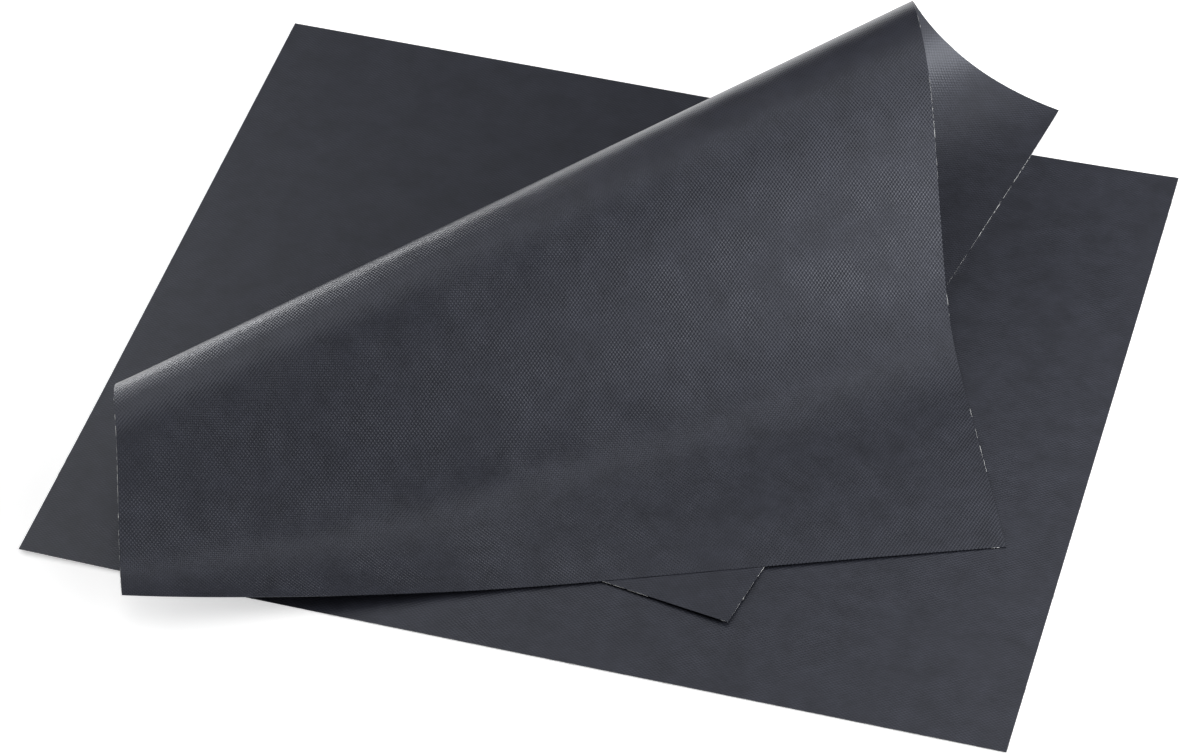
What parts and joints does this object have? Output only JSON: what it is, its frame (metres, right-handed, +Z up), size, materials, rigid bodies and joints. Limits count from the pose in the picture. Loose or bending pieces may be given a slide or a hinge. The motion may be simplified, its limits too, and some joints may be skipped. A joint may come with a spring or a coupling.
{
  "type": "reusable baking liner",
  "caption": "Thin rectangular non-stick oven liners of coated glass cloth: a flat one, with a folded one lying on it in a soft roll.",
  "frame": {"origin": "centre of the flat liner's underside", "axes": "+X along the flat liner's long edge to the right, +Y to its far long edge, +Z up from the surface it lies on"},
  "size_m": [0.4, 0.4148, 0.0697],
  "materials": {
    "non_stick_coat": "smooth satin charcoal non-stick coat, with the weave of the cloth showing through it",
    "glass_cloth": "plain-woven white glass-fibre cloth, seen only as specks along the cut edges"
  },
  "bodies": {
    "flat_liner": {"flat_liner_base_coat": "non_stick_coat", "flat_liner_cloth": "glass_cloth", "flat_liner_top_coat": "non_stick_coat"},
    "folded_liner": {"back_layer_outer_coat": "non_stick_coat", "back_layer_cloth": "glass_cloth", "back_layer_inner_coat": "non_stick_coat", "roll_outer_coat": "non_stick_coat", "roll_cloth": "glass_cloth", "roll_inner_coat": "non_stick_coat"},
    "flap": {"flap_outer_coat": "non_stick_coat", "flap_cloth": "glass_cloth", "flap_inner_coat": "non_stick_coat"}
  },
  "joints": [
    {"name": "folded_liner_lift", "type": "slide", "parent": "flat_liner", "child": "folded_liner", "axis": [0, 0, 1], "range_m": [0, 0.15]},
    {"name": "fold_opening", "type": "hinge", "parent": "folded_liner", "child": "flap", "pos_m": [-0.12903, -0.05443, 0.02769], "axis": [-0.6549, -0.7546, -0.0416], "range_deg": [0, 60], "deforming": ["roll_outer_coat", "roll_cloth", "roll_inner_coat"]}
  ]
}
